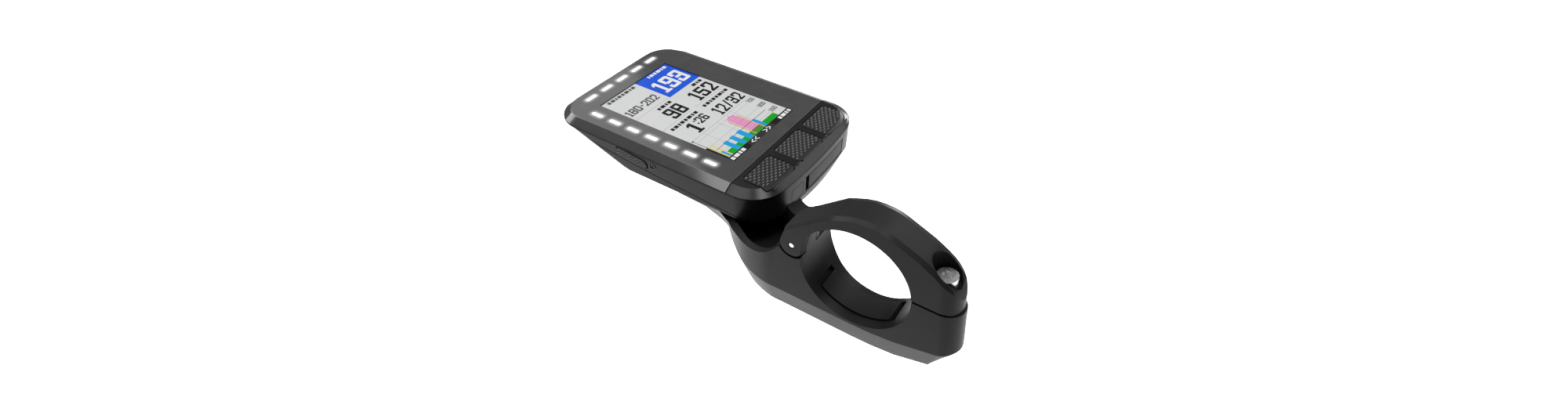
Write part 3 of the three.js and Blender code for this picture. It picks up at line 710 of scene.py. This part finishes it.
def key_grip(node):
    """Raised marks on the top of a key, kept clear of the head's rounded corners."""
    low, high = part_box(node)
    margin = 0.9 * MM
    span_x = (low.x + margin, high.x - margin * 0.6)
    span_y = (low.y + 1.7 * MM, high.y - 0.6 * MM)
    corner_reach = CORNER - 2.6 * MM - 1.2 * MM
    kept = []
    for x, y in staggered(*span_x, *span_y, 2.3 * MM, 0.8 * MM):
        dx = abs(x - HEAD_X) - STRAIGHT_HALF
        dy = REAR + CORNER - y
        if dx > 0 and dy > 0 and math.hypot(dx, dy) > corner_reach:
            continue
        kept.append((x, y))

    def place(x, y, lift):
        return (x, y, top_height(x, y) + lift)

    obj = bumps(f"{node}_grip", kept, 1.5 * MM, 0.44 * MM, 0.24 * MM, place)
    return piece(obj, node, "grip")


for key_node in KEYS:
    key_grip(key_node)


SIDE_TILT = math.radians(6)        # lean of the side buttons along the case


def side_grip(node, side):
    """Raised marks on the outer face of a side button."""
    low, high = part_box(node)
    face = low.x if side < 0 else high.x
    mid = (low + high) / 2
    half_length, half_height = (high.y - low.y) / 2, 1.55 * MM
    span_u = (-half_length + 1.0 * MM, half_length - 0.6 * MM)
    span_v = (-half_height + 0.45 * MM, half_height)
    kept = [
        (u, v)
        for u, v in staggered(*span_u, *span_v, 1.5 * MM, 0.58 * MM)
        if abs(u) < half_length - 1.3 * MM or abs(v) < half_height - 0.7 * MM
    ]

    def place(u, v, lift):
        y = mid.y + u * math.cos(SIDE_TILT) - v * math.sin(SIDE_TILT)
        z = mid.z + u * math.sin(SIDE_TILT) + v * math.cos(SIDE_TILT)
        return (face + side * lift, y, z)

    obj = bumps(f"{node}_grip", kept, 1.15 * MM, 0.42 * MM, 0.15 * MM, place)
    return piece(obj, node, "grip")


side_grip("power_button", -1)
side_grip("up_button", 1)
side_grip("down_button", 1)


# ---- small moulded details ----
# height of the bars between the keys over the top, by distance from the rear edge, both in millimetres
KEY_BAR_LIFTS = (
    (2.0, -0.05),
    (2.2, 0.05),
    (2.4, 0.12),
    (2.8, 0.14),
    (3.3, 0.14),
    (8, 0.14),
    (13.0, 0.14),
)


def slab_by(name, outline, depths, place):
    """Prism of an outline in its own plane, put into the world by place(u, v, depth)."""
    bm = bmesh.new()
    near, far = [[bm.verts.new(place(u, v, depth)) for u, v in outline] for depth in depths]
    for i in range(len(near)):
        j = (i + 1) % len(near)
        bm.faces.new((near[i], near[j], far[j], far[i]))
    bm.faces.new(list(reversed(near)))
    bm.faces.new(far)
    return from_bmesh(name, bm)


def across_head(y, z, x):
    """World place of a point of a side profile that is carried across the head."""
    return (x, y, z)


def make_key_bars():
    """Raised bars between the keys, running a little way over the rear chamfer."""
    keys = [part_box(node) for node in KEYS]
    for number, (left, right) in enumerate(zip(keys, keys[1:]), 1):
        x0, x1 = left[1].x + 0.35 * MM, right[0].x - 0.35 * MM
        side = [
            (REAR + back * MM, top_height((x0 + x1) / 2, REAR + back * MM) + lift * MM)
            for back, lift in KEY_BAR_LIFTS
        ]
        under = [(y, z - 0.6 * MM) for y, z in reversed(side)]
        bar_piece = slab_by(f"key_bar_{number}", side + under, (x0, x1), across_head)
        round_edges(bar_piece, 0.08 * MM)
        piece(bar_piece, "head", "fascia")


make_key_bars()


def make_key_roots():
    """Web that joins the rear end of each key flush to the fascia."""
    for node in KEYS:
        low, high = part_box(node)
        x0, x1 = low.x + 1.5 * MM, high.x - 1.5 * MM
        y0, y1 = low.y - 0.31 * MM, low.y - 0.01 * MM
        mid = (x0 + x1) / 2
        tops = [(y, top_height(mid, y) - 0.02 * MM) for y in (y0, y1)]
        unders = [(y, z - 0.5 * MM) for y, z in reversed(tops)]
        root = slab_by(f"{node}_root", tops + unders, (x0, x1), across_head)
        piece(root, "head", "fascia")


make_key_roots()


def ring_outline(radius, width, start, end):
    """Outline of part of a flat ring, between two angles in degrees."""
    outer = arc(0, 0, radius, start, end, 24)
    inner = arc(0, 0, radius - width, end, start, 24)
    return outer + inner


def make_power_icon():
    """Broken ring and stroke beside the power button, raised from the side wall, in a lighter grey:
    painted highlight.
    """
    icon_y, icon_z = 80.4 * MM, -5.5 * MM
    sunk, depths = 0.12 * MM, (0, 0.2 * MM)

    def place(u, v, depth):
        return (HEAD_LOW.x + sunk - depth, icon_y - u, icon_z + v)

    ring = slab_by("power_icon_ring", ring_outline(1.25 * MM, 0.28 * MM, 125, 415), depths, place)
    stroke = bar(-0.15 * MM, 0.15 * MM, 0.1 * MM, 1.5 * MM)
    line = slab_by("power_icon_stroke", stroke, depths, place)
    for part in (ring, line):
        piece(part, "head", "relief")


make_power_icon()


def rear_wall(x, z):
    """Distance back of the rear wall's surface at a place on it."""
    u = (x - HEAD_X) / STRAIGHT_HALF
    return REAR - CROWN * (1 - u * u) + WALL_LEAN * (WALL_TOP - z) / (WALL_TOP - WALL_LOW)


def closed_ring(name, rows):
    """Ring solid from rows of points that go once round its section."""
    bm = bmesh.new()
    rows = [[bm.verts.new(point) for point in row] for row in rows]
    for a, b in zip(rows, rows[1:] + rows[:1]):
        for i in range(len(a)):
            j = (i + 1) % len(a)
            bm.faces.new((a[i], a[j], b[j], b[i]))
    return from_bmesh(name, bm)


def make_rear_panel():
    """Thin parting line of a small rounded plate beside the charging door, drawn as a black ring:
    painted shade of its groove.
    """
    outer = rounded_rect(22.0 * MM, 28.6 * MM, -11.3 * MM, -6.2 * MM, 0.9 * MM, 6)
    inner = rounded_rect(22.13 * MM, 28.47 * MM, -11.17 * MM, -6.33 * MM, 0.8 * MM, 6)
    sunk, proud = -0.1 * MM, 0.03 * MM
    section = ((outer, sunk), (outer, proud), (inner, proud), (inner, sunk))
    rows = [[(x, rear_wall(x, z) - lift, z) for x, z in outline] for outline, lift in section]
    piece(closed_ring("rear_panel_shade_line", rows), "head", "mark")


def make_shadow_line():
    """Painted shadow: a black strip in the joint between the chamfered top and the band under it, where
    the gap's shade falls.
    """
    outer = head_outline(-0.03 * MM, -0.03 * MM, -0.03 * MM, CORNER + 0.03 * MM)
    inner = head_outline(0.3 * MM, 0.3 * MM, 0.3 * MM, CORNER - 0.3 * MM)
    low, high = TOP - CHAMFER_DROP - 0.53 * MM, TOP - CHAMFER_DROP + 0.02 * MM
    section = ((outer, low), (outer, high), (inner, high), (inner, low))
    rows = [[(x, y, z) for x, y in outline] for outline, z in section]
    piece(closed_ring("joint_shadow_strip", rows), "head", "mark")


make_shadow_line()
make_rear_panel()


# ---- floor, lights and camera ----
def make_floor():
    """Pale sheet under the part, square to the view and just wider than it."""
    height, thick = -0.26, 0.01
    heading, across = Vector((0.8388, 0.5444)), Vector((0.5444, -0.8388))
    start = Vector((-0.117, -0.051))          # under the camera
    behind, ahead, half_width = -0.35, 0.95, 1.25
    corners = ((behind, -half_width), (behind, half_width), (ahead, half_width), (ahead, -half_width))
    sheet = [tuple(start + heading * h + across * a) for h, a in corners]
    floor = loft("floor", [(sheet, z) for z in (height - thick, height)])
    material, _, _, shader = new_material("pale_floor")
    shader.inputs["Base Color"].default_value = (0.9, 0.9, 0.9, 1)
    shader.inputs["Roughness"].default_value = 0.9
    shader.inputs["Emission Color"].default_value = (1, 1, 1, 1)
    shader.inputs["Emission Strength"].default_value = 0.85
    floor.data.materials.append(material)


def area_light(name, place, target, size, power, size_y=None):
    """Rectangular softbox at a place, turned to a target."""
    data = bpy.data.lights.new(name, "AREA")
    data.shape = "RECTANGLE"
    data.size = size
    data.size_y = size_y or size
    data.energy = power
    lamp = new_object(name, data)
    lamp.location = place
    lamp.rotation_mode = "QUATERNION"
    lamp.rotation_quaternion = (Vector(target) - Vector(place)).to_track_quat("-Z", "Y")
    return lamp


def make_lights():
    """Five softboxes round the part, and one wide panel for its reflection in the cover."""
    world = bpy.data.worlds.new("studio")
    world.use_nodes = True
    background = world.node_tree.nodes["Background"]
    background.inputs["Color"].default_value = (1, 1, 1, 1)
    background.inputs["Strength"].default_value = 0.16
    SCENE.world = world
    head = Vector((HEAD_X, 0.08, 0))
    area_light("softbox_front", (0.1, 1.0, 0.62), head, 0.5, 4.5)
    area_light("softbox_left", (-0.06, 0.36, 0.88), head, 0.62, 5.0, 0.5)
    area_light("softbox_top", (0.03, -0.13, 0.8), head, 0.2, 2.0)
    area_light("softbox_rear", (0.75, -0.35, 0.75), head, 0.5, 2.8)
    area_light("softbox_right", (1.0, 0.12, 0.27), head, 0.3, 5.0)
    # the wide panel mirrored in the front left part of the cover, set by the edge that shows there
    edge_start, edge_end = Vector((0.764, 0.733, 0.8)), Vector((1.017, 1.165, 0.8))
    along = (edge_end - edge_start).normalized()
    aside = Vector((-along.y, along.x, 0))
    length, width = 1.2, 0.5
    panel = area_light("softbox_wide", (0, 0, 0), (0, 0, -1), length, 2.4, width)
    panel.location = (edge_start + edge_end) / 2 + aside * width / 2
    panel.rotation_mode = "XYZ"
    panel.rotation_euler = (0, 0, math.atan2(along.y, along.x))


def make_camera():
    """Camera solved from the photograph's perspective."""
    place = Vector((-116.87, -50.75, 133.97)) * MM
    target = Vector((10.115, 31.66, -1.2)) * MM
    focal_share = 0.4414          # focal length over picture width
    sensor = 36
    data = bpy.data.cameras.new("camera")
    data.sensor_fit = "HORIZONTAL"
    data.sensor_width = sensor
    data.lens = sensor * focal_share
    data.clip_start = 0.005
    data.clip_end = 20
    camera = new_object("camera", data)
    camera.location = place
    camera.rotation_mode = "QUATERNION"
    camera.rotation_quaternion = (target - place).to_track_quat("-Z", "Y")
    SCENE.camera = camera


make_floor()
make_lights()
make_camera()
SCENE.view_settings.view_transform = "Standard"
SCENE.view_settings.look = "None"
